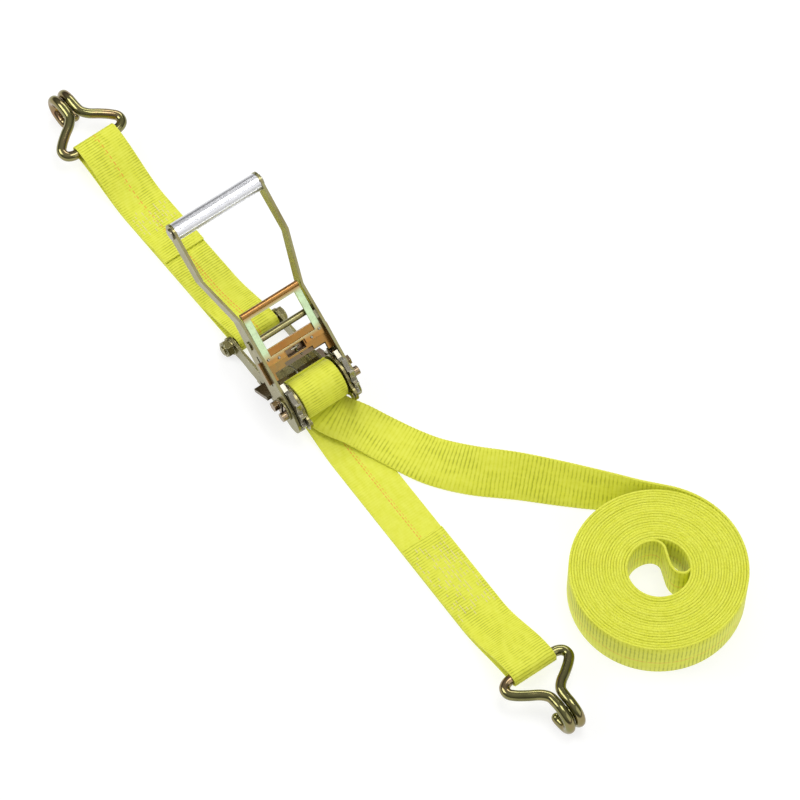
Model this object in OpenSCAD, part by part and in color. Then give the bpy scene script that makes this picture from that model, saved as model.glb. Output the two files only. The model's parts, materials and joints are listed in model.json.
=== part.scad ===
// Ratchet tie-down: a long-handle ratchet buckle with sewn polyester webbing and two double-J hooks.
// Origin: on the floor, under the spindle axis, on the underside of the floor plate.
// +X runs along the load strap, +Y along the spindle, +Z up. Millimetres.

/* [Webbing] */
// Width of the webbing
strap_w = 50; // [48:0.5:50.5]
// Thickness of one ply
strap_t = 2.5; // [2.2:0.1:2.6]
// Air between two plies that lie on each other
ply_gap = 0.3; // [0.2:0.05:0.4]
// Outside radius of the webbing wound on the spindle
roll_r = 23; // [20:0.5:23]
// Outside radius of the coil of loose webbing
coil_r = 88.4; // [80:0.2:89]
// Radius of the hole in the coil
coil_hole_r = 34.5; // [34:0.5:38]

/* [Frame] */
// Height of the spindle axis
spindle_z = 42; // [42:0.5:43]
// Distance from the spindle to the anchor bolt
bolt_x = 107; // [104:1:110]
// Height of the anchor bolt
bolt_z = 10; // [9.8:0.1:11]
// Inner face of a side plate, from the middle
side_y = 27; // [26.8:0.1:27]
// Thickness of the side plates and handle plates
plate_t = 3; // [2.8:0.1:3]

/* [Ratchet] */
// Number of ratchet teeth
teeth = 12; // [12]
// Outside radius of a ratchet wheel
wheel_r = 29; // [28.5:0.1:29]
// Root radius of a ratchet wheel
root_r = 24; // [23.8:0.1:24]
// Thickness of a ratchet wheel
wheel_t = 5; // [4.6:0.1:5]
// Radius of the spindle
spindle_r = 11; // [10.6:0.1:11]

/* [Handle] */
// Angle of the handle above the floor
handle_angle = 38; // [38]
// Distance from the spindle to the grip
grip_t = 211; // [200:1:215]
// Radius of the grip tube
grip_r = 9.5; // [9:0.1:10]
// Outer face of the handle plates at the grip, from the middle
grip_y = 53.5; // [50:0.5:54]

/* [Hooks] */
// Radius of the hook wire
wire_r = 5.4; // [5:0.1:5.4]
// Distance from the spindle to the far hook's bar
far_bar_x = 385; // [370:1:400]
// Distance from the spindle to the near hook's bar
near_bar_x = 368; // [355:1:380]
// Height of the hook bars
bar_z = 26; // [25:0.5:27]

/* [Hidden] */
$fn = 64;
play = 0.03;
ply = strap_t + ply_gap;
low_z = strap_t / 2 + 0.01;
bush_r = 6.5;
bush_gap = 0.8;
bolt_r = 5;
wheel_y = side_y + plate_t + 0.5;
handle_y = wheel_y + wheel_t + 0.5;
head_y = handle_y + plate_t + 2.4;
stub = 6;
lock_angle = handle_angle + 0.8;
lock_dir = -33;
far_swing = 1.3;
near_swing = -1.07;
steel = "darkkhaki";
bright = "silver";
webbing = "greenyellow";
// Loose tail: x, y, z of the middle line and the twist of the webbing about it
tail_points = [[2, 0.6, 17.4, 0], [22, 6, 15.2, 0], [44, 20, 9.8, 0], [66, 31, 6.2, 1], [96, 44, 6.6, 6],
  [124, 58, 8.6, 16], [156, 80, 14.2, 30], [190, 111, 19, 44], [222, 138, 22.4, 54],
  [254, 166, 24.6, 66], [280, 192, 26, 82], [304, 216.4, 26.4, 90]];
// Middle of the coil
coil_at = [365.8, 149.7, 0];
// The webbing's inner end, folded across the coil's hole, from the coil's middle
core_points = [[-27.5, -15], [-31.4, -4], [-30.6, 8], [-25.5, 17], [-17, 20], [-7, 16.5], [5, 12.2],
  [14, 12.8], [19.5, 19], [19, 25.5]];
// Half of a double-J hook: outward from the bar, across, up
hook_half = [[0, 8, 0], [0, 20, 0], [0.6, 29.5, 0], [4.5, 35.6, 0.2], [11.5, 36.4, 1], [18, 31, 2],
  [25, 22, 3.4], [31.5, 12.6, 4.6], [38.5, 7, 5.8], [47, 5.8, 6.8], [57, 5.8, 7.2], [67.4, 6, 3],
  [71.7, 6.1, -6.6], [67.4, 6.2, -16.4], [57, 6.3, -20.4], [47, 6.4, -20.4]];

// ---- path helpers ----
function unit(v) = v / norm(v);
function ease(a, b, s) = a + (b - a) * s * s * (3 - 2 * s);
function tangent(p, i) = unit(p[min(i + 1, len(p) - 1)] - p[max(i - 1, 0)]);
function side_of(p, i, d) = p[i] + d * [-tangent(p, i)[1], tangent(p, i)[0]];
// A rise from [xa, za] to [xb, zb] that starts and ends level
function rise(xa, za, xb, zb, n = 8) =
  [for (i = [0:n]) [xa + (xb - xa) * i / n, ease(za, zb, i / n)]];
// Points of an arc round c
function arc(c, r, a0, a1, n = 10) =
  [for (i = [1:n - 1]) let (a = a0 + (a1 - a0) * i / n) c + r * [cos(a), sin(a)]];
// Catmull-Rom curve through the points p, n steps to a span
function blend3(a, b, c, d, s) =
  0.5 * (2 * b + (c - a) * s + (2 * a - 5 * b + 4 * c - d) * s * s
  + (3 * b - a - 3 * c + d) * s * s * s);
function smooth_path(p, n) = concat(
  [for (i = [0:len(p) - 2], k = [0:n - 1])
    blend3(p[max(i - 1, 0)], p[i], p[i + 1], p[min(i + 2, len(p) - 1)], k / n)],
  [p[len(p) - 1]]);

// A flat ribbon whose middle follows the path p, extruded to the webbing's width
module ribbon(p) {
  linear_extrude(strap_w, center = true)
    polygon(concat(
      [for (i = [0:len(p) - 1]) side_of(p, i, strap_t / 2)],
      [for (i = [len(p) - 1:-1:0]) side_of(p, i, -strap_t / 2)]));
}

// Stands a drawing in the XZ plane
module upright() {
  rotate([90, 0, 0]) children();
}

// A plate in the XZ plane from y0 outward on the given side
module side_slab(y0, t, side) {
  translate([0, side * (y0 + t / 2), 0]) upright() linear_extrude(t, center = true) children();
}

// A round bar along Y between y0 and y1
module y_bar(x, z, r, y0, y1, sides = $fn) {
  translate([x, y0, z]) rotate([-90, 0, 0]) cylinder(h = y1 - y0, r = r, $fn = sides);
}

// A tube swept along the 3D path p
module wire(p, r, sides) {
  rings = [for (i = [0:len(p) - 1])
    let (t = tangent(p, i), u = unit(cross(t, [0.31, 0.17, 0.94])), v = cross(t, u))
    [for (k = [0:sides - 1]) p[i] + r * (cos(360 * k / sides) * u + sin(360 * k / sides) * v)]];
  last = len(p) - 1;
  polyhedron(
    [for (ring = rings, q = ring) q],
    concat(
      [[for (k = [sides - 1:-1:0]) k]],
      [for (i = [0:last - 1], k = [0:sides - 1]) let (n = (k + 1) % sides)
        [i * sides + k, i * sides + n, (i + 1) * sides + n, (i + 1) * sides + k]],
      [[for (k = [0:sides - 1]) last * sides + k]]),
    convexity = 6);
}

// ---- frame ----
module side_outline() {
  difference() {
    union() {
      translate([0, spindle_z]) circle(22.6);
      translate([24, spindle_z - 2]) circle(9);
      translate([-bolt_x, bolt_z]) circle(9.5);
      polygon([[-22.6, 35.5], [-58, 24.8], [-bolt_x, bolt_z + 9.5], [-bolt_x, bolt_z - 9.5],
        [-62, 2.6], [-13, 2.6], [-9, 19.8], [27, 31.6], [24, 49], [0, 60]]);
    }
    translate([-86, -38]) circle(41);
    translate([0, spindle_z]) circle(spindle_r + play);
    translate([-bolt_x, bolt_z]) circle(bolt_r + play);
    translate([27, spindle_z - 3]) circle(3.5);
    translate([0, spindle_z]) rotate(-lock_dir) translate([-66.6, -2.2]) square([41.1, 4.4]);
  }
}

module left_side_plate() {
  color(steel) side_slab(side_y, plate_t, -1) side_outline();
}

module right_side_plate() {
  color(steel) side_slab(side_y, plate_t, 1) side_outline();
}

module floor_plate() {
  color(steel) difference() {
    translate([-62, -30, 0]) cube([70, 60, 2.5]);
    for (y = [-14, 14]) translate([-27, y, -1]) cylinder(h = 5, r = 3.2);
  }
}

module front_rivets() {
  color(steel) for (s = [-1, 1]) {
    y_bar(27, spindle_z - 3, 3.5, s * 28.15 - 2.05, s * 28.15 + 2.05);
    y_bar(27, spindle_z - 3, 4.6, s * 26.1 - 0.8, s * 26.1 + 0.8);
  }
}

module anchor_bolt() {
  color(steel) {
    y_bar(-bolt_x, bolt_z, bolt_r, -41, 30.1);
    y_bar(-bolt_x, bolt_z, 9.4, 30.05, 35, 6);
    y_bar(-bolt_x, bolt_z, 6.4, 34.9, 36.2);
  }
}

module anchor_nut() {
  color(steel) difference() {
    union() {
      y_bar(-bolt_x, bolt_z, 9.4, -38.6, -32, 6);
      y_bar(-bolt_x, bolt_z, 7.4, -39.6, -38);
    }
    y_bar(-bolt_x, bolt_z, bolt_r + play, -41, -31);
  }
}

module anchor_washer() {
  color(steel) difference() {
    y_bar(-bolt_x, bolt_z, 9.8, -31.9, -30.1);
    y_bar(-bolt_x, bolt_z, bolt_r + play, -33, -29);
  }
}

module anchor_bush() {
  color(steel) difference() {
    y_bar(-bolt_x, bolt_z, bush_r, -26.6, 26.6);
    y_bar(-bolt_x, bolt_z, bolt_r + play, -28, 28);
  }
}

// ---- lock pawl: slides towards the spindle in the side plates ----
module at_lock() {
  translate([0, 0, spindle_z]) rotate([0, lock_dir, 0]) children();
}

module lock_pawl() {
  color("rosybrown") at_lock() difference() {
    union() {
      translate([-49, -26.9, -2]) cube([15, 53.8, 4]);
      for (s = [-1, 1]) {
        translate([-60, s * 31.1 - 4.3, -2]) cube([34.2, 8.6, 4]);
        translate([-60, s * 37.9 - 3.1, -2]) cube([27, 6.2, 4]);
      }
    }
    translate([-47, -8, -3]) cube([9, 16, 6]);
  }
}

module lock_spring() {
  color(bright) at_lock() wire(smooth_path([[-71.6, -3, 0.9], [-64, 0, 4.6], [-54, 3, 4.8],
    [-46, 3, 3.8], [-39.6, 2, 3], [-39.2, 0, 0.4], [-39.2, -1, -2.4]], 4), 0.8, 8);
}

// ---- spindle ----
module spindle_half(side) {
  translate([0, 0, spindle_z]) intersection() {
    y_bar(0, 0, spindle_r, -head_y, head_y);
    translate([side * 11.7, 0, 0]) cube([20, 120, 40], center = true);
  }
}

module spindle_half_front() {
  color(steel) {
    spindle_half(1);
    for (y0 = [head_y, -head_y - stub]) y_bar(7, spindle_z, 4.9, y0, y0 + stub);
  }
}

module spindle_half_rear() {
  color(steel) {
    spindle_half(-1);
    for (y0 = [head_y, -head_y - stub]) y_bar(-8, spindle_z, 5.6, y0, y0 + stub, 6);
  }
}

// Saw teeth: each rises from the root to a radial face
module wheel_outline() {
  pitch = 360 / teeth;
  face = 180 - handle_angle - 24;
  difference() {
    // each corner of a tooth: radius, degrees past its face
    polygon([for (i = [0:teeth - 1], q = [[root_r, 0], [wheel_r, 0.4], [wheel_r, 4], [root_r, 19]])
      let (a = face - i * pitch - q[1]) q[0] * [cos(a), sin(a)]]);
    circle(spindle_r + play);
  }
}

module ratchet_wheel(side) {
  color(bright) translate([0, 0, spindle_z]) side_slab(wheel_y, wheel_t, side) wheel_outline();
}

module left_ratchet_wheel() {
  ratchet_wheel(-1);
}

module right_ratchet_wheel() {
  ratchet_wheel(1);
}

module retaining_washers() {
  color(steel) for (s = [-1, 1]) translate([0, 0, spindle_z])
    side_slab(handle_y + plate_t + 0.2, 1.8, s) difference() {
      circle(13);
      circle(spindle_r + play);
    }
}

// The wound webbing and the ply that passes through the spindle's slot
module spindle_webbing() {
  color(webbing) translate([0, 0, spindle_z]) upright() linear_extrude(strap_w, center = true) {
    difference() {
      circle(roll_r);
      circle(spindle_r + 0.15);
    }
    square([2.5, 2 * spindle_r + 1], center = true);
  }
}

// ---- handle ----
module at_handle() {
  translate([0, 0, spindle_z]) rotate([0, handle_angle, 0]) children();
}

module handle_outline() {
  difference() {
    polygon(concat(
      arc([17, 0], 12, -90, 90, 16), [[4, 16], [-25, 16], [-62, 14], [-102, 10.5], [-155, 9]],
      arc([-grip_t, 0], 10, 60, 300, 18), [[-155, -7], [-102, -8], [-62, -12.5], [-25, -16], [4, -16]]));
    circle(spindle_r + play);
    translate([-grip_t, 0]) circle(4.03);
    translate([-73, 0]) circle(3.53);
    translate([-61, 2.6]) square([34.5, 3.8]);
  }
}

// The plate's bends, seen from above: straight, flared, then straight again
module handle_bends(side) {
  linear_extrude(60, center = true) scale([1, side]) polygon([[32, handle_y], [-100, handle_y],
    [-155, grip_y - plate_t], [-230, grip_y - plate_t], [-230, grip_y], [-155.8, grip_y],
    [-100.8, handle_y + plate_t], [32, handle_y + plate_t]]);
}

module handle_plate(side) {
  color(steel) at_handle() intersection() {
    upright() linear_extrude(120, center = true) handle_outline();
    handle_bends(side);
  }
}

module left_handle_plate() {
  handle_plate(-1);
}

module right_handle_plate() {
  handle_plate(1);
}

module handle_web() {
  color(steel) at_handle() difference() {
    translate([-50, -handle_y + 0.02, -4]) cube([15.5, 2 * handle_y - 0.04, 2]);
    for (y = [-18, 18]) translate([-42, y, -5]) cylinder(h = 4, r = 2.5);
  }
}

module handle_cross_rod() {
  color(steel) at_handle() {
    y_bar(-73, 0, 3.5, -handle_y - plate_t - 0.1, handle_y + plate_t + 0.1);
    for (y0 = [39.1, -40.6]) y_bar(-73, 0, 5, y0, y0 + 1.5);
  }
}

// Drawn aluminium tube with three grooves along it
module grip_tube() {
  color(bright) at_handle() difference() {
    y_bar(-grip_t, 0, grip_r, -grip_y + plate_t + 0.1, grip_y - plate_t - 0.1);
    y_bar(-grip_t, 0, 4.05, -60, 60);
    for (a = [25, 60, 95, 240]) y_bar(-grip_t + grip_r * cos(a), grip_r * sin(a), 0.7, -60, 60, 16);
  }
}

module grip_rod() {
  color(bright) at_handle() {
    y_bar(-grip_t, 0, 4, -grip_y, grip_y);
    for (y0 = [grip_y, -grip_y - 2]) y_bar(-grip_t, 0, 6.2, y0, y0 + 2);
  }
}

module drive_spring() {
  color(bright) at_handle() wire(smooth_path([[-37, 6, -1.1], [-41, 4, -1.1], [-45, 2, 0],
    [-48.6, 3, 2.5], [-49, 4, 6], [-49, 1, 8.2], [-49, -5, 8.2]], 4), 0.8, 8);
}

// ---- drive pawl: slides along the handle ----
module drive_pawl() {
  color("peru") at_handle() difference() {
    union() {
      translate([-61.5, -35.6, 3]) cube([20.5, 71.2, 3]);
      for (s = [-1, 1]) {
        translate([-54, s * 33.2 - 2.4, 3]) cube([25, 4.8, 3]);
        translate([-54, s * 38.7 - 3.3, 3]) cube([25, 6.6, 3]);
      }
      for (s = [-1, 1]) translate([-41.2, s * 24 - 7, 3]) cube([4, 14, 3]);
    }
    translate([-51, -11, 2]) cube([8, 22, 5]);
  }
}

// Flat U-shaped frame with a rolled top edge
module release_bar() {
  color("peru") at_handle() {
    difference() {
      translate([-104, -34.5, 6.05]) cube([58, 69, 2]);
      translate([-97.5, -27, 5]) cube([43.5, 54, 4]);
      translate([-52, -12.5, 5]) cube([8, 25, 4]);
    }
    y_bar(-103.5, 6.4, 3.2, -34.5, 34.5);
  }
}

module release_bar_rivets() {
  color(bright) at_handle() for (s = [-1, 1], t = [49, 52.5])
    translate([-t, s * (t == 49 ? 20 : 31), 8.06]) cylinder(h = 1.1, r1 = 1.7, r2 = 1.2, $fn = 24);
}

// ---- webbing ----
// Fixed strap, from its cut end over the far hook's bar, back to the anchor bush and round it
function fixed_path() = let (x0 = -far_bar_x, top = low_z + ply, loop = wire_r + ply_gap + strap_t / 2,
    turn = bush_r + bush_gap + strap_t / 2) concat(
  [[-230, top + ply], [-256, top + ply]], rise(-258, top + ply, -268, top, 4),
  rise(-300, top, x0, bar_z + loop), arc([x0, bar_z], loop, 90, 270), rise(x0, bar_z - loop, -300, low_z),
  rise(-150, low_z, -bolt_x, bolt_z - turn, 3), arc([-bolt_x, bolt_z], turn, -90, 90),
  rise(-bolt_x, bolt_z + turn, -176, top), [[-250, top]]);

module far_turn() {
  translate([-bolt_x, 0, 0]) rotate([0, 0, far_swing]) translate([bolt_x, 0, 0]) children();
}

module fixed_webbing() {
  color(webbing) far_turn() upright() ribbon(fixed_path());
}

// Load strap, from under the spindle over the near hook's bar and back to its cut end
function load_path() = let (x0 = near_bar_x, top = low_z + ply, loop = wire_r + ply_gap + strap_t / 2) concat(
  rise(-6, spindle_z - roll_r - ply_gap - ply - strap_t / 2, 66, low_z, 10),
  rise(286, low_z, x0, bar_z - loop), arc([x0, bar_z], loop, -90, 90), rise(x0, bar_z + loop, 286, top),
  [[184, top]]);

module near_turn() {
  rotate([0, 0, near_swing]) children();
}

module load_webbing() {
  color(webbing) near_turn() upright() ribbon(load_path());
}

// A twisted ribbon through the points p
module twisted_ribbon(p) {
  rings = [for (i = [0:len(p) - 1])
    let (a = p[max(i - 1, 0)], b = p[min(i + 1, len(p) - 1)], f = unit([b[0] - a[0], b[1] - a[1], 0]),
      w = cos(p[i][3]) * [-f[1], f[0], 0] + sin(p[i][3]) * [0, 0, 1], t = unit(cross(f, w)))
    [for (c = [[-1, -1], [1, -1], [1, 1], [-1, 1]])
      [p[i][0], p[i][1], p[i][2]] + c[0] * strap_w / 2 * w + c[1] * strap_t / 2 * t]];
  last = len(p) - 1;
  polyhedron(
    [for (ring = rings, q = ring) q],
    concat([[3, 2, 1, 0]],
      [for (i = [0:last - 1], k = [0:3]) let (n = (k + 1) % 4)
        [i * 4 + k, i * 4 + n, (i + 1) * 4 + n, (i + 1) * 4 + k]],
      [[for (k = [0:3]) last * 4 + k]]),
    convexity = 4);
}

module tail_webbing() {
  color(webbing) twisted_ribbon(smooth_path(tail_points, 3));
}

module webbing_coil() {
  color(webbing) translate(coil_at) difference() {
    cylinder(h = strap_w, r = coil_r, $fn = 128);
    translate([0, 0, -1]) cylinder(h = strap_w + 2, r = coil_hole_r, $fn = 96);
  }
}

module coil_core() {
  color(webbing) translate(coil_at + [0, 0, strap_w / 2]) ribbon(smooth_path(core_points, 4));
}

// ---- hooks ----
function hook_path(dir) = smooth_path(concat(
  [for (i = [len(hook_half) - 1:-1:0]) [dir * hook_half[i][0], -hook_half[i][1], bar_z + hook_half[i][2]]],
  [for (p = hook_half) [dir * p[0], p[1], bar_z + p[2]]]), 2);

module far_hook() {
  color(steel) far_turn() translate([-far_bar_x, 0, 0]) wire(hook_path(-1), wire_r, 12);
}

module near_hook() {
  color(steel) near_turn() translate([near_bar_x, 0, 0]) wire(hook_path(1), wire_r, 12);
}

left_side_plate();
right_side_plate();
floor_plate();
front_rivets();
anchor_bolt();
anchor_nut();
anchor_washer();
anchor_bush();
lock_spring();
lock_pawl();
spindle_half_front();
spindle_half_rear();
left_ratchet_wheel();
right_ratchet_wheel();
retaining_washers();
spindle_webbing();
left_handle_plate();
right_handle_plate();
handle_web();
handle_cross_rod();
grip_tube();
grip_rod();
drive_spring();
drive_pawl();
release_bar();
release_bar_rivets();
fixed_webbing();
load_webbing();
tail_webbing();
webbing_coil();
coil_core();
far_hook();
near_hook();
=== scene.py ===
import json
import math

import bpy
import numpy as np
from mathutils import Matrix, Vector


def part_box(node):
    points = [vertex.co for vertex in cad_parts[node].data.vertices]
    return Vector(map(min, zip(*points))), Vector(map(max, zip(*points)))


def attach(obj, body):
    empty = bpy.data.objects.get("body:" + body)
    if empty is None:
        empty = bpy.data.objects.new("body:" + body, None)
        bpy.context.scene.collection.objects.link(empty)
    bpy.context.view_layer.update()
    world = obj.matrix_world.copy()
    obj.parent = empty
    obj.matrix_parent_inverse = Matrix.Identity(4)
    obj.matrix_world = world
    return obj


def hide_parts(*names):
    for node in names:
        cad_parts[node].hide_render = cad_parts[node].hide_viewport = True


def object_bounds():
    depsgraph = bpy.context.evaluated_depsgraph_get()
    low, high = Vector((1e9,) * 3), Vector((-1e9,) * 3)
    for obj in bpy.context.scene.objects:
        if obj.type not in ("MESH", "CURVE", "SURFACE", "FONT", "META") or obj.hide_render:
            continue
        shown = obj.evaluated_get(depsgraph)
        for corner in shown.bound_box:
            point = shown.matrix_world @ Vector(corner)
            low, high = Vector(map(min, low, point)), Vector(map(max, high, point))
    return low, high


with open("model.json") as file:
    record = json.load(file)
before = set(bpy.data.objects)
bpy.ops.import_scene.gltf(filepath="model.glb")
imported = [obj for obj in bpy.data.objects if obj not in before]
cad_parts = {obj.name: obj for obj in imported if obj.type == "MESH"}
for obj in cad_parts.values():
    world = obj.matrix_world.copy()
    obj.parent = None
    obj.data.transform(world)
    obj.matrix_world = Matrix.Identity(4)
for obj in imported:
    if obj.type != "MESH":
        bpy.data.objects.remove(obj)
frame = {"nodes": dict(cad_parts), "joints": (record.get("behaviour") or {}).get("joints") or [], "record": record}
cad_low, cad_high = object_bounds()

# ---------------------------------------------------------------- measures
MM = 0.001
JOINTS = {j["name"]: j for j in frame["joints"]}
Y, Z = Vector((0, 1, 0)), Vector((0, 0, 1))


def joint_at(name):
    return Vector(JOINTS[name]["pos_m"])


def middle(node):
    low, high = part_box(node)
    return (low + high) / 2


def size(node):
    low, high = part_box(node)
    return high - low


SPINDLE = joint_at("spindle_turn")
BOLT = middle("anchor_bush")
FAR_BAR, NEAR_BAR = joint_at("far_hook_pivot"), joint_at("near_hook_pivot")
COIL = middle("webbing_coil")
STRAP_W = size("webbing_coil").z
STRAP_T = 2.4 * MM  # at the top of a rib; the CAD strip is 2.5 mm
PLY = 2.8 * MM  # from one ply to the next that lies on it
LOW_Z = 1.26 * MM  # middle of a ply that lies on the floor
SHORT_RIB = 3.0 * MM  # from one cross rib to the next on the sewn straps
LONG_RIB = 4.2 * MM  # and on the long webbing
SWAY = 0.3 * MM  # how far the ribs wander off straight
EDGE_PULL = 0.3 * MM  # how far a groove pulls the webbing's edge in
WIRE_R = 5.4 * MM
WIRE_GAP, HALF_PLY = 0.3 * MM, 1.25 * MM
LOOP_R = WIRE_R + WIRE_GAP + HALF_PLY  # middle of the webbing round a hook's bar
TURN_R = size("anchor_bush").z / 2 + 2.05 * MM  # and round the anchor bush
ROLL_R = size("spindle_webbing").x / 2


# ---------------------------------------------------------------- paths
def ease(a, b, s):
    return a + (b - a) * s * s * (3 - 2 * s)


def rise(x0, z0, x1, z1, steps=14):
    """From one height to another, level at both ends."""
    return [(x0 + (x1 - x0) * i / steps, ease(z0, z1, i / steps)) for i in range(steps + 1)]


def arc(x, z, r, a0, a1, steps=20):
    angles = [math.radians(a0 + (a1 - a0) * i / steps) for i in range(1, steps)]
    return [(x + r * math.cos(a), z + r * math.sin(a)) for a in angles]


def curve_through(points, steps):
    """Catmull-Rom curve through rows of numbers."""
    p = np.array(points, float)
    p = np.vstack([2 * p[0] - p[1], p, 2 * p[-1] - p[-2]])
    rows = []
    for i in range(1, len(p) - 2):
        a, b, c, d = p[i - 1:i + 3]
        for k in range(steps):
            s = k / steps
            rows.append(0.5 * (2 * b + (c - a) * s + (2 * a - 5 * b + 4 * c - d) * s * s
                               + (3 * b - a - 3 * c + d) * s ** 3))
    return np.vstack([rows, p[-2]])


def resample(rows, step):
    """The rows again, evenly spaced along their first three columns, and the distance along."""
    rows = np.array(rows, float)
    run = np.concatenate([[0], np.cumsum(np.linalg.norm(np.diff(rows[:, :3], axis=0), axis=1))])
    at = np.linspace(0, run[-1], max(2, round(run[-1] / step) + 1))
    return np.stack([np.interp(at, run, rows[:, k]) for k in range(rows.shape[1])], axis=1), at


# ---------------------------------------------------------------- meshes
def new_object(name, verts, faces, body, material, uvs=None):
    mesh = bpy.data.meshes.new(name)
    mesh.from_pydata([tuple(v) for v in verts], [], faces)
    if uvs is not None:
        layer = mesh.uv_layers.new(name="along_across")
        loops = np.zeros(len(mesh.loops), np.int32)
        mesh.loops.foreach_get("vertex_index", loops)
        layer.data.foreach_set("uv", np.array(uvs, np.float32)[loops].ravel())
    mesh.shade_smooth()
    obj = bpy.data.objects.new(name, mesh)
    bpy.context.scene.collection.objects.link(obj)
    mesh.materials.append(material)
    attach(obj, body)
    return obj


def tube_faces(rings, sides):
    faces = []
    for i in range(rings - 1):
        for k in range(sides):
            n = (k + 1) % sides
            faces.append((i * sides + k, i * sides + n, (i + 1) * sides + n, (i + 1) * sides + k))
    faces.append(tuple(range(sides - 1, -1, -1)))
    faces.append(tuple((rings - 1) * sides + k for k in range(sides)))
    return faces


def section(half_w, half_t, face_points):
    """Outline of the webbing across its width: two flat faces and two rounded edges."""
    flat = np.linspace(-1, 1, face_points) * (half_w - 0.7 * MM)
    edge = [(half_w - 0.2 * MM, 0.72 * half_t), (half_w, 0), (half_w - 0.2 * MM, -0.72 * half_t)]
    top = [(v, half_t) for v in flat]
    bottom = [(v, -half_t) for v in flat[::-1]]
    left = [(-a, -b) for a, b in edge]
    return np.array(top + edge + bottom + left)


def ribbon(name, rows, across, body, material, rib, per_rib=8, face_points=9, depth=0.11, thick=STRAP_T):
    """Closed webbing mesh along rows of x, y, z; across gives the unit width direction of each.
    depth is how far the grooves between ribs cut in, as a share of the half thickness."""
    points, at = resample(np.hstack([rows, across]), rib / per_rib)
    p, w = points[:, :3], points[:, 3:]
    w = w / np.linalg.norm(w, axis=1)[:, None]
    t = np.gradient(p, axis=0)
    t = t / np.linalg.norm(t, axis=1)[:, None]
    n = np.cross(t, w)
    n = n / np.linalg.norm(n, axis=1)[:, None]
    shape = section(STRAP_W / 2, thick / 2, face_points)
    groove = 1 - np.abs(np.sin(math.pi * at / rib)) ** 0.5
    ends = np.minimum(1, np.minimum(np.arange(len(at)), np.arange(len(at))[::-1]) / 2 + 0.6)
    sides = len(shape)
    verts = np.zeros((len(p), sides, 3))
    for k, (v, h) in enumerate(shape):
        sway = pull = 0 * at
        if per_rib > 2:
            sway = SWAY * np.sin(v / (6 * MM) + at / (23 * MM)) * np.sin(at / (57 * MM))
        if abs(v) > STRAP_W / 2 - MM:
            pull = EDGE_PULL * groove * abs(v) / (STRAP_W / 2)
        verts[:, k] = (p + w * (v - np.sign(v) * pull)[:, None] + t * sway[:, None]
                       + n * (h * (1 - depth * groove) * ends)[:, None])
    uvs = [(a, v + STRAP_W / 2) for a in at for v, h in shape]
    return new_object(name, verts.reshape(-1, 3), tube_faces(len(p), sides), body,
                      material, uvs), at[-1]


def tube(name, path, radius, body, material, sides=28, caps=4):
    """Round bar along the path, with rounded ends."""
    p = np.array([tuple(q) for q in path])
    t = np.gradient(p, axis=0)
    t = t / np.linalg.norm(t, axis=1)[:, None]
    u = np.cross(t[0], (0.31, 0.17, 0.94))
    rings = []
    for i in range(len(p)):
        u = u - t[i] * (u @ t[i])
        u = u / np.linalg.norm(u)
        rings.append((p[i], t[i], u.copy(), radius))
    def cap(ring, sign):
        c, d, e, r = ring
        angles = [math.radians(90 * k / caps) for k in range(caps, 0, -1)]
        return [(c + sign * d * r * math.sin(a), d, e, max(r * math.cos(a), r * 0.02)) for a in angles]
    rings = cap(rings[0], -1) + rings + cap(rings[-1], 1)[::-1]
    verts = []
    for c, d, e, r in rings:
        f = np.cross(d, e)
        for k in range(sides):
            a = 2 * math.pi * k / sides
            verts.append(c + r * (math.cos(a) * e + math.sin(a) * f))
    return new_object(name, verts, tube_faces(len(rings), sides), body, material)


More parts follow.
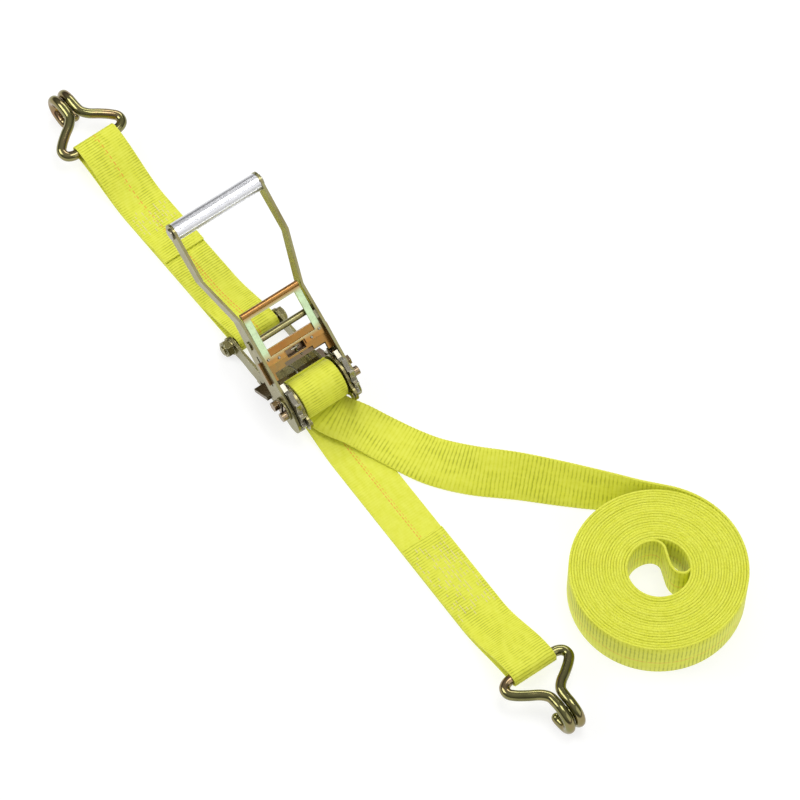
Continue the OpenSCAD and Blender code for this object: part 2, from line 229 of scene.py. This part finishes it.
# ---------------------------------------------------------------- materials
class Nodes:
    """Short calls for a material's node tree."""

    def __init__(self, name):
        self.material = bpy.data.materials.new(name)
        self.material.use_nodes = True
        self.tree = self.material.node_tree
        self.shader = self.tree.nodes["Principled BSDF"]

    def add(self, kind, inputs=None, **settings):
        node = self.tree.nodes.new(kind)
        for key, value in settings.items():
            setattr(node, key, value)
        for key, value in (inputs or {}).items():
            self.put(node.inputs[key], value)
        return node

    def put(self, socket, value):
        if isinstance(value, bpy.types.NodeSocket):
            self.tree.links.new(value, socket)
        elif isinstance(value, (tuple, list)) and socket.type == "RGBA":
            socket.default_value = (*value, 1) if len(value) == 3 else value
        else:
            socket.default_value = value

    def math(self, kind, a, b=0.0, c=0.0):
        return self.add("ShaderNodeMath", {0: a, 1: b, 2: c}, operation=kind).outputs[0]

    def mix(self, share, a, b, kind="MIX"):
        node = self.add("ShaderNodeMix", {0: share, 6: a, 7: b}, data_type="RGBA", blend_type=kind)
        return node.outputs[2]

    def noise(self, vector, scale, detail=3.0, roughness=0.55):
        node = self.add("ShaderNodeTexNoise", {"Scale": scale, "Detail": detail, "Roughness": roughness})
        if vector is not None:
            self.tree.links.new(vector, node.inputs["Vector"])
        return node.outputs["Fac"]

    def stretch(self, vector, scale):
        return self.add("ShaderNodeMapping", {"Vector": vector, "Scale": scale}).outputs[0]

    def ramp(self, value, stops):
        node = self.add("ShaderNodeValToRGB", {"Fac": value})
        ramp = node.color_ramp
        ramp.elements[0].position, ramp.elements[0].color = stops[0][0], (*stops[0][1], 1)
        ramp.elements[1].position, ramp.elements[1].color = stops[-1][0], (*stops[-1][1], 1)
        for place, colour in stops[1:-1]:
            ramp.elements.new(place).color = (*colour, 1)
        return node.outputs["Color"]

    def remap(self, value, from_min, from_max, to_min=0.0, to_max=1.0):
        node = self.add("ShaderNodeMapRange", {"Value": value, "From Min": from_min, "From Max": from_max,
                                               "To Min": to_min, "To Max": to_max})
        return node.outputs[0]

    def dot(self, a, b):
        return self.add("ShaderNodeVectorMath", {0: a, 1: b}, operation="DOT_PRODUCT").outputs["Value"]

    def bump(self, height, distance, strength=1.0, normal=None):
        node = self.add("ShaderNodeBump", {"Height": height, "Distance": distance, "Strength": strength})
        if normal is not None:
            self.tree.links.new(normal, node.inputs["Normal"])
        return node.outputs[0]


def webbing_material(name, rib_pitch, rib_bump, tracers=(), calm_to=0.0):
    """Ribbed polyester webbing. UV holds metres along and across. tracers are rows of
    (from and to along in m, place across in mm, width, dash and gap in mm, strength). The ribs
    hardly show before calm_to, in metres along."""
    m = Nodes(name)
    uv = m.add("ShaderNodeUVMap", uv_map="along_across").outputs[0]
    split = m.add("ShaderNodeSeparateXYZ", {0: uv})
    along, across = split.outputs[0], split.outputs[1]
    wobble = m.noise(m.stretch(uv, (35, 160, 1)), 1.0, 2.0)
    moved = m.math("MULTIPLY_ADD", wobble, 1.1 * MM, along)
    wave = m.math("ABSOLUTE", m.math("SINE", m.math("MULTIPLY", moved, math.pi / rib_pitch)))
    groove = m.math("SUBTRACT", 1.0, m.math("POWER", wave, 0.75))
    from_middle = m.math("ABSOLUTE", m.math("SUBTRACT", across, STRAP_W / 2))
    edge = m.math("GREATER_THAN", from_middle, STRAP_W / 2 - 0.8 * MM)
    fade = m.remap(m.noise(m.stretch(uv, (14, 45, 1)), 1.0, 2.0), 0.38, 0.6, 0.35, 1.0)
    if calm_to:
        calm = m.math("MULTIPLY", m.math("LESS_THAN", along, calm_to), 0.75)
        fade = m.math("MULTIPLY", fade, m.math("SUBTRACT", 1.0, calm))
    groove = m.math("MULTIPLY", m.math("MULTIPLY", groove, fade), m.math("SUBTRACT", 1.0, edge))
    yarn_phase = m.math("MULTIPLY", across, 2 * math.pi / (1.3 * MM))
    half_step = m.math("MULTIPLY", m.math("FLOOR", m.math("MULTIPLY", along, 1 / rib_pitch)), math.pi)
    yarn = m.math("SINE", m.math("ADD", yarn_phase, half_step))
    fuzz = m.noise(m.stretch(uv, (900, 2600, 1)), 1.0, 2.0)
    beads = m.noise(m.add("ShaderNodeTexCoord").outputs["Object"], 620.0, 1.0)
    patch = m.noise(m.stretch(uv, (110, 190, 1)), 1.0, 3.0)
    shade = m.noise(m.stretch(uv, (12, 16, 1)), 1.0, 2.0)
    # The colour darkens in the grooves between the ribs, which is painted shade in the recesses. The patch noise
    # adds random tone.
    height = m.math("SUBTRACT", m.math("MULTIPLY_ADD", patch, 0.45, 0.55), m.math("MULTIPLY", groove, 0.5))
    ribs = m.ramp(height, [(0.4, (0.43, 0.47, 0.03)), (0.62, (0.78, 0.81, 0.055)),
                           (0.85, (0.88, 0.91, 0.12))])
    bead_share = m.math("MULTIPLY", m.math("MULTIPLY", edge, m.math("GREATER_THAN", beads, 0.56)), 0.45)
    colour = m.mix(bead_share, ribs, (0.62, 0.64, 0.03))
    colour = m.mix(m.math("MULTIPLY", fuzz, 0.2), colour, (0.72, 0.75, 0.05))
    colour = m.mix(m.math("MULTIPLY", shade, 0.2), colour, (0.74, 0.74, 0.04))
    for start, end, place, width, dash, gap, strength in tracers:
        drift = m.math("MULTIPLY_ADD", patch, 0.6 * MM, across)
        off = m.math("ABSOLUTE", m.math("SUBTRACT", drift, (place + 0.3) * MM))
        line = m.math("LESS_THAN", off, width * MM / 2)
        step = m.math("MODULO", m.math("ADD", moved, place * 7 * MM), (dash + gap) * MM)
        on = m.math("LESS_THAN", step, dash * MM)
        here = m.math("MULTIPLY", m.math("GREATER_THAN", along, start), m.math("LESS_THAN", along, end))
        share = m.math("MULTIPLY", m.math("MULTIPLY", m.math("MULTIPLY", line, on), here), strength)
        colour = m.mix(share, colour, (0.9, 0.17, 0.04))
    m.put(m.shader.inputs["Base Color"], colour)
    m.shader.inputs["Roughness"].default_value = 0.6
    m.shader.inputs["Specular IOR Level"].default_value = 0.25
    m.shader.inputs["Sheen Weight"].default_value = 0.1
    m.shader.inputs["Sheen Roughness"].default_value = 0.4
    relief = m.math("MULTIPLY_ADD", yarn, 0.2, m.math("MULTIPLY", fuzz, 0.3))
    normal = m.bump(relief, 0.2 * MM, 0.5)
    if rib_bump:
        normal = m.bump(m.math("SUBTRACT", 1.0, groove), rib_bump, 1.0, normal)
    m.put(m.shader.inputs["Normal"], normal)
    return m.material


def plated(name, stops, roughness, edge=0.6 * MM, scale=26.0, rubbed=(0.2, 0.17, 0.08), zones=()):
    """Zinc plated steel: hue wanders with the film's thickness, fine rolled grain, softened edges carrying a
    painted pale highlight.
    zones are rows of (direction, from, to, colour): past that distance along the direction from the
    spindle's axis the colour turns to the given one, used both for a change of film colour and for a painted
    highlight band."""
    m = Nodes(name)
    place = m.add("ShaderNodeTexCoord").outputs["Object"]
    film = m.noise(place, scale, 4.0, 0.6)
    grain = m.noise(m.stretch(place, (1400, 160, 1400)), 1.0, 3.0)
    rub = m.noise(place, 190.0, 4.0, 0.7)
    colour = m.ramp(film, stops)
    for direction, start, end, film_and_highlight_colour in zones:
        offset = m.add("ShaderNodeVectorMath", {0: place, 1: SPINDLE}, operation="SUBTRACT").outputs[0]
        share = m.remap(m.dot(offset, direction), start, end)
        colour = m.mix(share, colour, film_and_highlight_colour)
    colour = m.mix(m.math("MULTIPLY", m.math("POWER", rub, 2.0), 0.7), colour, rubbed)
    bevel = m.add("ShaderNodeBevel", {"Radius": edge}, samples=4).outputs[0]
    flat = m.add("ShaderNodeNewGeometry").outputs["Normal"]
    bend = m.dot(bevel, flat)
    # Pale colour where the bevelled normal turns away from the flat one: a painted highlight along the edges.
    edge_highlight_share = m.remap(bend, 0.98, 0.8, 0.0, 0.7)
    colour = m.mix(edge_highlight_share, colour, (0.78, 0.82, 0.62))
    m.put(m.shader.inputs["Base Color"], colour)
    m.shader.inputs["Metallic"].default_value = 1.0
    m.put(m.shader.inputs["Roughness"], m.math("MULTIPLY_ADD", rub, 0.16, roughness - 0.08))
    m.put(m.shader.inputs["Normal"], m.bump(grain, 0.02 * MM, 0.35, bevel))
    return m.material


def drawn_aluminium(name):
    m = Nodes(name)
    place = m.add("ShaderNodeTexCoord").outputs["Object"]
    lines = m.noise(m.stretch(place, (1800, 12, 1800)), 1.0, 3.0)
    cloud = m.noise(place, 60.0, 3.0)
    colour = m.ramp(m.math("MULTIPLY_ADD", cloud, 0.5, m.math("MULTIPLY", lines, 0.5)),
                    [(0.25, (0.62, 0.63, 0.66)), (0.75, (0.9, 0.9, 0.92))])
    m.put(m.shader.inputs["Base Color"], colour)
    m.shader.inputs["Metallic"].default_value = 1.0
    m.put(m.shader.inputs["Roughness"], m.math("MULTIPLY_ADD", lines, 0.25, 0.2))
    m.put(m.shader.inputs["Normal"], m.bump(lines, 0.04 * MM, 0.5))
    return m.material


def thread_material(name, colour):
    m = Nodes(name)
    place = m.add("ShaderNodeTexCoord").outputs["Object"]
    twist = m.noise(place, 1500.0, 2.0)
    m.put(m.shader.inputs["Base Color"], m.mix(m.math("MULTIPLY", twist, 0.35), colour, (0.6, 0.6, 0.25)))
    m.shader.inputs["Roughness"].default_value = 0.55
    m.put(m.shader.inputs["Normal"], m.bump(twist, 0.1 * MM, 0.5))
    return m.material


def floor_material():
    m = Nodes("floor_white")
    haze = m.noise(None, 3.0, 1.0)
    m.put(m.shader.inputs["Base Color"], m.ramp(haze, [(0.3, (0.34, 0.34, 0.34)), (0.7, (0.36, 0.36, 0.36))]))
    m.shader.inputs["Roughness"].default_value = 0.9
    m.shader.inputs["Specular IOR Level"].default_value = 0.1
    m.shader.inputs["Emission Color"].default_value = (1, 1, 1, 1)
    m.shader.inputs["Emission Strength"].default_value = 0.74
    return m.material


MID = STRAP_W / 2 / MM
FAR_SEWN, NEAR_SEWN = 0.2, 0.36  # metres along the fixed and the load strap where the doubled part ends
WEB_FIXED = webbing_material("webbing_fixed", SHORT_RIB, 0.0, [
    (0, FAR_SEWN, MID + 0.2, 0.9, 4.0, 3.2, 0.7), (0, FAR_SEWN, MID + 2.6, 0.6, 2.5, 6.5, 0.5),
    (FAR_SEWN, 1, MID - 1.4, 0.9, 3.6, 1.5, 0.7), (FAR_SEWN, 1, MID + 1.4, 0.9, 3.6, 1.5, 0.6)])
WEB_LOAD = webbing_material("webbing_load", SHORT_RIB, 0.0, [
    (0, NEAR_SEWN, MID - 1.2, 0.8, 3.4, 1.4, 0.7), (0, NEAR_SEWN, MID + 1.2, 0.7, 3.0, 2.0, 0.5)],
    calm_to=NEAR_SEWN)
WEB_LONG = webbing_material("webbing_long", LONG_RIB, 0.16 * MM, [(0.5, 20, MID - 5, 0.5, 22.0, 2.0, 0.8)])
WEB_ROLL = webbing_material("webbing_roll", SHORT_RIB, 0.12 * MM)
UP_HANDLE = Vector(JOINTS["drive_pawl_pull"]["axis"])
ZINC = plated("zinc_plate", [(0.3, (0.22, 0.19, 0.075)), (0.48, (0.30, 0.27, 0.12)),
                             (0.6, (0.31, 0.30, 0.15)), (0.72, (0.30, 0.22, 0.13))], 0.27)
BRONZE = plated("zinc_bronze", [(0.3, (0.36, 0.13, 0.025)), (0.5, (0.38, 0.18, 0.04)),
                                (0.72, (0.3, 0.2, 0.07))], 0.26)
# Dark brown zinc for the lock pawl and the handle web. On the handle web this darkness is painted shade, because
# that part lies in shade.
BROWN_AND_SHADE = plated("zinc_brown_and_shade", [(0.3, (0.13, 0.08, 0.045)), (0.5, (0.19, 0.13, 0.085)),
                              (0.7, (0.15, 0.13, 0.1))], 0.27)
ROSE = plated("zinc_rose", [(0.3, (0.28, 0.19, 0.12)), (0.7, (0.36, 0.28, 0.18))], 0.24)
# Orange film on the release bar. The pale green-white band from 50 to 60 mm up the handle is a painted highlight,
# and past 95 mm the bar turns back to bronze.
BAR = plated("zinc_bar", [(0.3, (0.42, 0.17, 0.035)), (0.7, (0.48, 0.26, 0.07))], 0.24,
             zones=[(UP_HANDLE, 50 * MM, 60 * MM, (0.6, 0.78, 0.48)),
                    (UP_HANDLE, 95 * MM, 101 * MM, (0.42, 0.2, 0.06))])
BRIGHT = plated("zinc_bright", [(0.3, (0.28, 0.26, 0.2)), (0.7, (0.46, 0.44, 0.36))], 0.24,
                rubbed=(0.14, 0.12, 0.09))
HOOK = plated("hook_zinc", [(0.3, (0.13, 0.13, 0.05)), (0.5, (0.26, 0.25, 0.1)),
                            (0.72, (0.36, 0.2, 0.13))], 0.13)
ALUMINIUM = drawn_aluminium("grip_aluminium")
THREAD = thread_material("stitch_thread", (0.9, 0.74, 0.55))


# ---------------------------------------------------------------- straps
def plan_frame(origin, towards):
    """Directions along and across a strap that runs from origin in plan."""
    along = Vector((towards.x - origin.x, towards.y - origin.y, 0)).normalized()
    return along, Z.cross(along)


def in_plan(path, origin, along):
    return np.array([(origin.x + along.x * a, origin.y + along.y * a, z) for a, z in path])


# Back from the hook's bar: the top ply's end, its step down, and where a ply leaves the floor
FAR_CUT, FAR_STEP, FAR_RISE = 155 * MM, 129 * MM, 85 * MM
NEAR_CUT, NEAR_RISE = 184 * MM, 82 * MM


def fixed_strap():
    """Both ends are sewn down: round the far hook's bar and round the anchor bush."""
    along, across = plan_frame(BOLT, FAR_BAR)
    bar = (Vector((FAR_BAR.x, FAR_BAR.y)) - Vector((BOLT.x, BOLT.y))).length
    top = LOW_Z + PLY
    over = top + PLY
    cut, step = bar - FAR_CUT, bar - FAR_STEP
    path = [(cut, over), (step, over)] + rise(step + 2 * MM, over, step + 12 * MM, top, 6) \
        + rise(bar - FAR_RISE, top, bar, FAR_BAR.z + LOOP_R) \
        + arc(bar, FAR_BAR.z, LOOP_R, 90, -90) \
        + rise(bar, FAR_BAR.z - LOOP_R, bar - FAR_RISE, LOW_Z) \
        + rise(43 * MM, LOW_Z, 0, BOLT.z - TURN_R, 6) \
        + arc(0, BOLT.z, TURN_R, 270, 90) \
        + rise(0, BOLT.z + TURN_R, 69 * MM, top) + [(bar - 135 * MM, top)]
    rows = in_plan(path, BOLT, along)
    widths = np.tile(np.array(across), (len(rows), 1))
    return ribbon("fixed_strap", rows, widths, "frame", WEB_FIXED, SHORT_RIB)


def load_strap():
    """From the wound roll to the near hook, round its bar and sewn down on itself."""
    along, across = plan_frame(SPINDLE, NEAR_BAR)
    bar = Vector((NEAR_BAR.x, NEAR_BAR.y)).length
    top = LOW_Z + PLY
    start = SPINDLE.z - ROLL_R - PLY - 1.55 * MM
    path = rise(-6 * MM, start, 66 * MM, LOW_Z) \
        + rise(bar - NEAR_RISE, LOW_Z, bar, NEAR_BAR.z - LOOP_R) \
        + arc(bar, NEAR_BAR.z, LOOP_R, -90, 90) \
        + rise(bar, NEAR_BAR.z + LOOP_R, bar - NEAR_RISE, top) + [(bar - NEAR_CUT, top)]
    rows = in_plan(path, SPINDLE, along)
    widths = np.tile(np.array(across), (len(rows), 1))
    return ribbon("load_strap", rows, widths, "frame", WEB_LOAD, SHORT_RIB)


# Loose tail: x, y, z of the middle line and the twist of the webbing about it, mm and degrees
TAIL = [(2, 0.6, 17.4, 0), (22, 6, 15.2, 0), (44, 20, 9.8, 0), (66, 31, 6.2, 1), (96, 44, 6.6, 6),
        (124, 58, 8.6, 16), (156, 80, 14.2, 30), (190, 111, 19, 44), (222, 138, 22.4, 54),
        (254, 166, 24.6, 66), (280, 192, 26, 82)]
COIL_START = Vector((304, 216.4)) * MM  # where the tail meets the coil
TURN_GAP = 2.745 * MM  # from one turn of the coil to the next
FULL_TURNS = 20
# Inner end, folded across the hole, from the coil's middle in mm
CORE = [(-27.5, -15), (-31.4, -4), (-30.6, 8), (-25.5, 17), (-17, 20), (-7, 16.5), (5, 12.2),
        (14, 12.8), (19.5, 19), (19, 25.5)]


def long_strap():
    """Loose tail, coil and folded inner end in one length."""
    start = COIL_START - COIL.xy
    a0, r0 = math.atan2(start.y, start.x), start.length
    core0 = Vector(CORE[0]) * MM
    a1 = math.atan2(core0.y, core0.x)
    sweep = (a0 - a1) % (2 * math.pi) + 2 * math.pi * FULL_TURNS
    steps = int(sweep / math.radians(4))
    rows = []
    for i in range(steps):
        turn = sweep * i / steps
        a = a0 - turn
        r = r0 - 2.4 * MM * (1 - math.exp(-2.5 * turn)) - TURN_GAP * turn / (2 * math.pi)
        left = sweep - turn
        if left < 1.0:
            r = ease(core0.length, r, left / 1.0)
        lift = 0.45 * (1 + math.sin(1.13 * turn + 0.7 * math.sin(0.37 * turn)))
        z = STRAP_W / 2 + (0.05 + lift + 1.0 * math.exp(-turn * 2)) * MM
        rows.append((COIL.x + r * math.cos(a), COIL.y + r * math.sin(a), z, 90))
    first = [(x * MM, y * MM, z * MM, twist) for x, y, z, twist in TAIL]
    tail = curve_through(first + rows[:3], 12)[:-2 * 12 - 1]
    core = [(COIL.x + x * MM, COIL.y + y * MM, STRAP_W / 2 + 0.3 * MM, 90) for x, y in CORE]
    inner = curve_through(rows[-3:] + core, 10)[3 * 10:]
    path = np.vstack([tail, rows, inner])
    flat = np.gradient(path[:, :2], axis=0)
    flat = flat / np.linalg.norm(flat, axis=1)[:, None]
    twist = np.radians(path[:, 3])
    across = np.stack([-flat[:, 1] * np.cos(twist), flat[:, 0] * np.cos(twist), np.sin(twist)], axis=1)
    return ribbon("long_strap", path[:, :3], across, "frame", WEB_LONG, LONG_RIB, per_rib=2, face_points=5,
                  depth=0.07, thick=2.62 * MM)


def spindle_roll():
    """Ply through the spindle's slot, then the turns wound on it."""
    rows = [(0, z * MM) for z in (-10, -6, -2, 2, 6, 10)]
    a0, turns = math.pi / 2, 3.9
    r0, r1 = 12.6 * MM, ROLL_R - 1.3 * MM
    n = 220
    for i in range(10, n + 1):
        s = i / n
        a = a0 + 0.35 - 2 * math.pi * turns * s
        r = r0 + (r1 - r0) * min(1, s * 1.04)
        rows.append((r * math.cos(a), r * math.sin(a)))
    path = curve_through(rows, 3)
    points = np.array([(SPINDLE.x + x, SPINDLE.y, SPINDLE.z + z) for x, z in path])
    widths = np.tile(np.array(Y), (len(points), 1))
    return ribbon("wound_strap", points, widths, "spindle", WEB_ROLL, SHORT_RIB, per_rib=4, face_points=5)


# ---------------------------------------------------------------- stitching
def stitching(name, origin, along, across, first, last, z, seed):
    """Short lengthwise stitches in staggered rows, lying on a ply between two places along it."""
    rng = np.random.default_rng(seed)
    verts, faces = [], []
    sides, steps = 6, 6
    for row in range(11):
        b = (-20 + 4 * row + rng.uniform(-0.6, 0.6)) * MM
        a = first + rng.uniform(0, 7) * MM
        while a < last:
            run = (rng.uniform(3.0, 5.0) if rng.random() < 0.9 else rng.uniform(9, 14)) * MM
            if rng.random() < 0.62 and a + run < last:
                radius, base = rng.uniform(0.25, 0.36) * MM, len(verts)
                for k in range(steps + 1):
                    arch = math.sin(math.pi * k / steps)
                    c = origin + along * (a + run * k / steps) + across * b
                    c.z = z + (arch - 0.8) * radius
                    for j in range(sides):
                        q = 2 * math.pi * j / sides
                        verts.append(c + across * (radius * math.cos(q)) + Z * (radius * math.sin(q)))
                faces += [tuple(base + v for v in face) for face in tube_faces(steps + 1, sides)]
            a += run + rng.uniform(1.2, 3.0) * MM
    return new_object(name, verts, faces, "frame", THREAD)


# ---------------------------------------------------------------- hooks
# Half of a double-J hook, in mm: outward from the bar, across, up
HOOK_HALF = [(0, 8, 0), (0, 20, 0), (0.6, 29.5, 0), (4.5, 35.6, 0.2), (11.5, 36.4, 1), (18, 31, 2),
             (25, 22, 3.4), (31.5, 12.6, 4.6), (38.5, 7, 5.8), (47, 5.8, 6.8), (57, 5.8, 7.2),
             (67.4, 6, 3), (71.7, 6.1, -6.6), (67.4, 6.2, -16.4), (57, 6.3, -20.4), (51.5, 6.4, -20.4)]


def hook(name, bar, origin, node, body):
    along, across = plan_frame(origin, bar)
    path = [(u, -v, z) for u, v, z in HOOK_HALF[::-1]] + HOOK_HALF
    smooth = curve_through(path, 8) * MM
    points = [bar + along * u + across * v + Z * z for u, v, z in smooth]
    obj = tube(name, points, WIRE_R, body, HOOK)
    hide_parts(node)
    return obj


# ---------------------------------------------------------------- make the pieces
fixed, fixed_run = fixed_strap()
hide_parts("fixed_webbing")
load, load_run = load_strap()
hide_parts("load_webbing")
long_piece, long_run = long_strap()
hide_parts("tail_webbing", "webbing_coil", "coil_core")
wound, wound_run = spindle_roll()
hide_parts("spindle_webbing")

far_along, far_across = plan_frame(BOLT, FAR_BAR)
near_along, near_across = plan_frame(SPINDLE, NEAR_BAR)
far_bar_run = (FAR_BAR - BOLT).xy.length
near_bar_run = NEAR_BAR.xy.length
FAR_SEAM, NEAR_SEAM, SEAM_END = 118 * MM, 178 * MM, 84 * MM  # back from the hook's bar
ply_top = LOW_Z + PLY + STRAP_T / 2
far_sewn = stitching("far_stitching", BOLT, far_along, far_across, far_bar_run - FAR_SEAM,
                     far_bar_run - SEAM_END, ply_top, 5)
near_sewn = stitching("near_stitching", SPINDLE, near_along, near_across, near_bar_run - NEAR_SEAM,
                      near_bar_run - SEAM_END, ply_top, 8)

hook("far_double_hook", FAR_BAR, BOLT, "far_hook", "far_hook")
hook("near_double_hook", NEAR_BAR, SPINDLE, "near_hook", "near_hook")

FINISH = {"zinc_plate": ZINC, "zinc_bronze": BRONZE, "zinc_bright": BRIGHT, "hook_zinc": HOOK,
          "grip_aluminium": ALUMINIUM, "webbing": WEB_LONG}
# Parts given their own material: the handle web's dark brown is painted shade, and the release bar's pale band is
# a painted highlight.
TINTS_AND_PAINTED_LIGHT = {"release_bar": BAR, "lock_pawl": BROWN_AND_SHADE, "handle_web": BROWN_AND_SHADE, "spindle_half_front": ROSE,
          "spindle_half_rear": ROSE}
for part in frame["record"]["subparts"]:
    obj = frame["nodes"].get(part["node"])
    if obj is not None:
        for slot in obj.material_slots:
            slot.material = TINTS_AND_PAINTED_LIGHT.get(part["node"], FINISH[part["material_slot"]])


# ---------------------------------------------------------------- floor, light, camera
def floor():
    mesh = bpy.data.meshes.new("floor")
    r, z = 6.0, min(0.0, cad_low.z) - 0.2 * MM
    mesh.from_pydata([(-r, -r, z), (r, -r, z), (r, r, z), (-r, r, z)], [], [(0, 1, 2, 3)])
    obj = bpy.data.objects.new("floor", mesh)
    mesh.materials.append(floor_material())
    bpy.context.scene.collection.objects.link(obj)


def sky():
    world = bpy.data.worlds.new("studio")
    bpy.context.scene.world = world
    world.use_nodes = True
    tree = world.node_tree
    back = tree.nodes["Background"]
    coord = tree.nodes.new("ShaderNodeTexCoord")
    split = tree.nodes.new("ShaderNodeSeparateXYZ")
    ramp = tree.nodes.new("ShaderNodeValToRGB")
    tree.links.new(coord.outputs["Generated"], split.inputs[0])
    tree.links.new(split.outputs[2], ramp.inputs[0])
    tree.links.new(ramp.outputs[0], back.inputs[0])
    stops = [(0.0, 0.85), (0.1, 0.3), (0.3, 0.12), (0.6, 0.3), (1.0, 0.5)]
    for i, (place, value) in enumerate(stops):
        element = ramp.color_ramp.elements[0 if i == 0 else -1] if i in (0, len(stops) - 1) \
            else ramp.color_ramp.elements.new(place)
        element.position, element.color = place, (value, value, value, 1)
    back.inputs[1].default_value = 1.0


def area_light(name, place, size_x, size_y, watts):
    data = bpy.data.lights.new(name, "AREA")
    data.shape, data.size, data.size_y, data.energy = "RECTANGLE", size_x, size_y, watts
    obj = bpy.data.objects.new(name, data)
    bpy.context.scene.collection.objects.link(obj)
    obj.location = place
    obj.rotation_euler = (-Vector(place)).to_track_quat("-Z", "Y").to_euler()


def camera():
    azimuth, elevation, distance = math.radians(53.66), math.radians(60.73), 3.949
    target = Vector((0.0417, 0.0745, 0))
    back = Vector((math.sin(azimuth) * math.cos(elevation), -math.cos(azimuth) * math.cos(elevation),
                   math.sin(elevation)))
    data = bpy.data.cameras.new("camera")
    data.lens, data.sensor_width, data.clip_end = 174.8, 36.0, 50.0
    obj = bpy.data.objects.new("camera", data)
    bpy.context.scene.collection.objects.link(obj)
    obj.location = target + back * distance
    obj.rotation_euler = (-back).to_track_quat("-Z", "Y").to_euler()
    bpy.context.scene.camera = obj


floor()
sky()
area_light("key", (-1.3, -1.5, 1.9), 1.3, 1.3, 24)
area_light("top", (0.2, 0.5, 2.8), 1.2, 1.2, 20)
area_light("back", (-1.6, 1.5, 1.6), 1.2, 1.0, 14)
area_light("side", (1.9, 0.75, 1.5), 2.0, 2.0, 12)
camera()
bpy.context.scene.view_settings.view_transform = "Standard"
